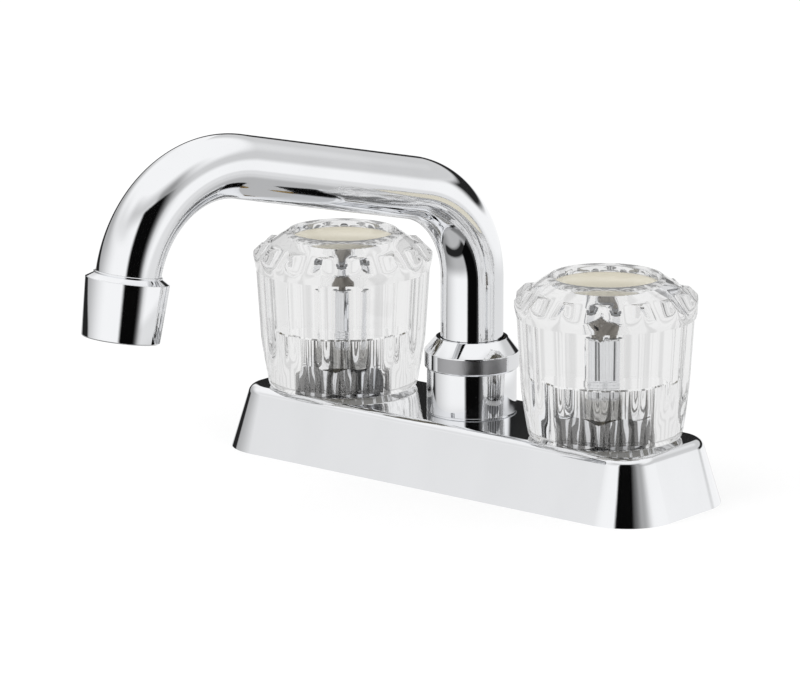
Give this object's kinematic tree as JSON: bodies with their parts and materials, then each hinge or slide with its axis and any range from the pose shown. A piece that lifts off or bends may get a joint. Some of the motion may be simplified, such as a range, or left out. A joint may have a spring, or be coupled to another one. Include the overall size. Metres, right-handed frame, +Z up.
{
  "type": "utility sink faucet",
  "caption": "Deck-mounted utility sink faucet with a chrome swing tube spout, clear fluted knob handles and a drafted chrome deck cover on standard centres.",
  "frame": {"origin": "centre of the underside, on the sink deck, midway between the two supply shanks", "axes": "+Z up from the deck, +X from the hot handle to the cold handle, -Y out of the front, where the spout reaches"},
  "size_m": [0.165, 0.1708, 0.167],
  "materials": {
    "chrome": "polished plating",
    "brass": "machined",
    "steel": "plain",
    "rubber": "matt",
    "ceramic": "lapped alumina",
    "acrylic": "clear, polished",
    "button": "cream, satin",
    "nylon": "white moulding"
  },
  "bodies": {
    "faucet_body": {"deck_cover": "chrome", "base_gasket": "rubber", "waterway_body": "brass", "spout_hub": "chrome", "spout_nut": "chrome", "friction_ring": "nylon", "cold_shank": "brass", "hot_shank": "brass", "mounting_washers": "steel", "mounting_nuts": "brass", "hot_sleeve": "steel", "hot_sleeve_o_ring": "rubber", "hot_fixed_disc": "ceramic", "hot_seat_seal": "rubber", "hot_bonnet_nut": "chrome", "cold_sleeve": "steel", "cold_sleeve_o_ring": "rubber", "cold_fixed_disc": "ceramic", "cold_seat_seal": "rubber", "cold_bonnet_nut": "chrome"},
    "spout": {"spout_tube": "chrome", "spout_adapter": "brass", "spout_o_rings": "rubber", "outlet_ferrule": "chrome", "aerator_housing": "chrome", "aerator_washer": "rubber", "aerator_insert": "nylon", "aerator_screen": "steel"},
    "hot_handle": {"hot_knob": "acrylic", "hot_button": "button", "hot_screw": "steel", "hot_stem": "chrome", "hot_moving_disc": "ceramic", "hot_stem_o_ring": "rubber"},
    "cold_handle": {"cold_knob": "acrylic", "cold_button": "button", "cold_screw": "steel", "cold_stem": "chrome", "cold_moving_disc": "ceramic", "cold_stem_o_ring": "rubber"}
  },
  "joints": [
    {"name": "spout_swivel", "type": "hinge", "parent": "faucet_body", "child": "spout", "pos_m": [0, 0, 0.03], "axis": [0, 0, 1], "continuous": true},
    {"name": "hot_turn", "type": "hinge", "parent": "faucet_body", "child": "hot_handle", "pos_m": [-0.0508, 0, 0.03], "axis": [0, 0, 1], "range_deg": [0, 90]},
    {"name": "cold_turn", "type": "hinge", "parent": "faucet_body", "child": "cold_handle", "pos_m": [0.0508, 0, 0.03], "axis": [0, 0, 1], "range_deg": [0, 90]}
  ]
}
